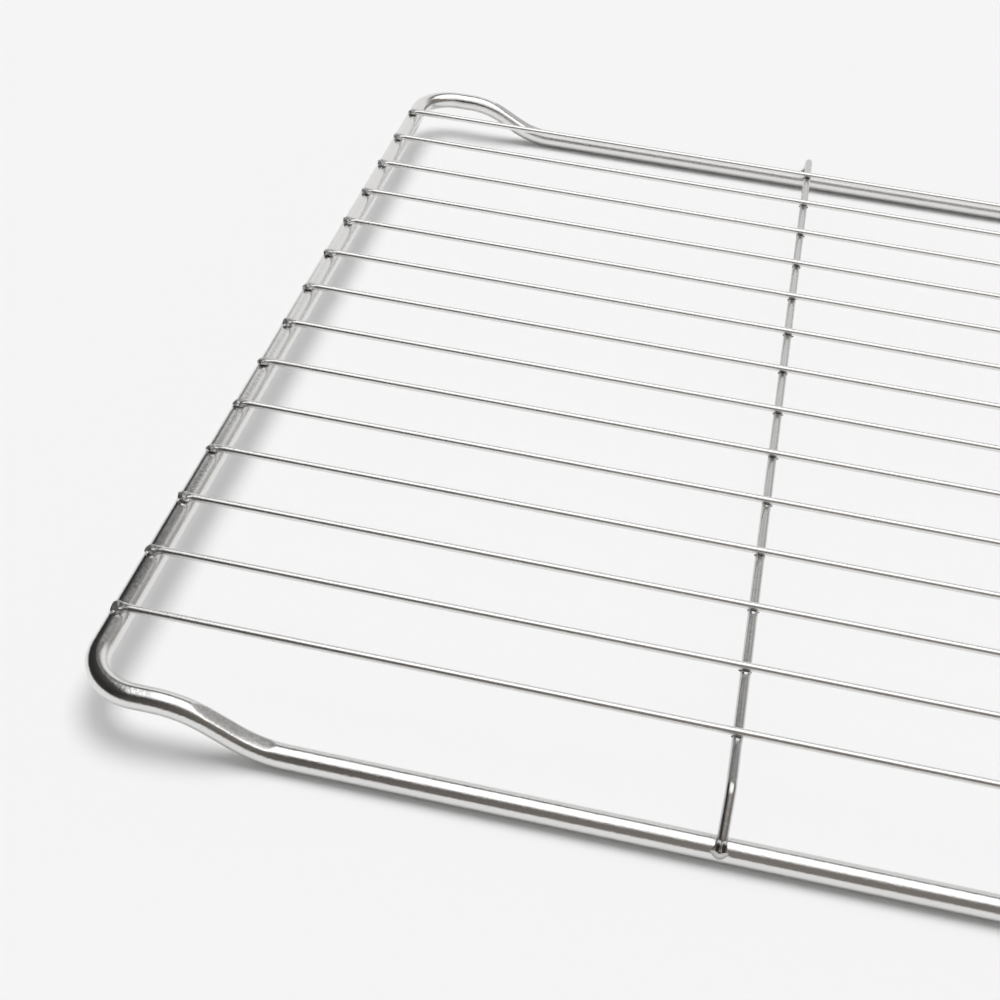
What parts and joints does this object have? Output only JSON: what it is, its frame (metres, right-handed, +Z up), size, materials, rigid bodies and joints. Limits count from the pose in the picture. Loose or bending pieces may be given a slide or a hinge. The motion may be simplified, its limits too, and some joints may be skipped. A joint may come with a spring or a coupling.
{
  "type": "roasting rack",
  "caption": "Flat wire roasting rack: thin parallel wires across a bent frame wire with raised ends and low rails, which holds food above a tray or in an oven.",
  "frame": {"origin": "middle of the rack, on the surface that the low rails stand on", "axes": "+X along the rack wires, +Y from the front rail to the back rail, +Z up"},
  "size_m": [0.477, 0.3672, 0.0191],
  "materials": {
    "frame_chrome": "bright chrome plate",
    "rack_wire_chrome": "bright chrome plate",
    "brace_chrome": "bright chrome plate"
  },
  "bodies": {
    "root": {"frame_wire": "frame_chrome", "rack_wire_01": "rack_wire_chrome", "rack_wire_02": "rack_wire_chrome", "rack_wire_03": "rack_wire_chrome", "rack_wire_04": "rack_wire_chrome", "rack_wire_05": "rack_wire_chrome", "rack_wire_06": "rack_wire_chrome", "rack_wire_07": "rack_wire_chrome", "rack_wire_08": "rack_wire_chrome", "rack_wire_09": "rack_wire_chrome", "rack_wire_10": "rack_wire_chrome", "rack_wire_11": "rack_wire_chrome", "rack_wire_12": "rack_wire_chrome", "rack_wire_13": "rack_wire_chrome", "rack_wire_14": "rack_wire_chrome", "brace_left": "brace_chrome", "brace_right": "brace_chrome"}
  },
  "joints": []
}
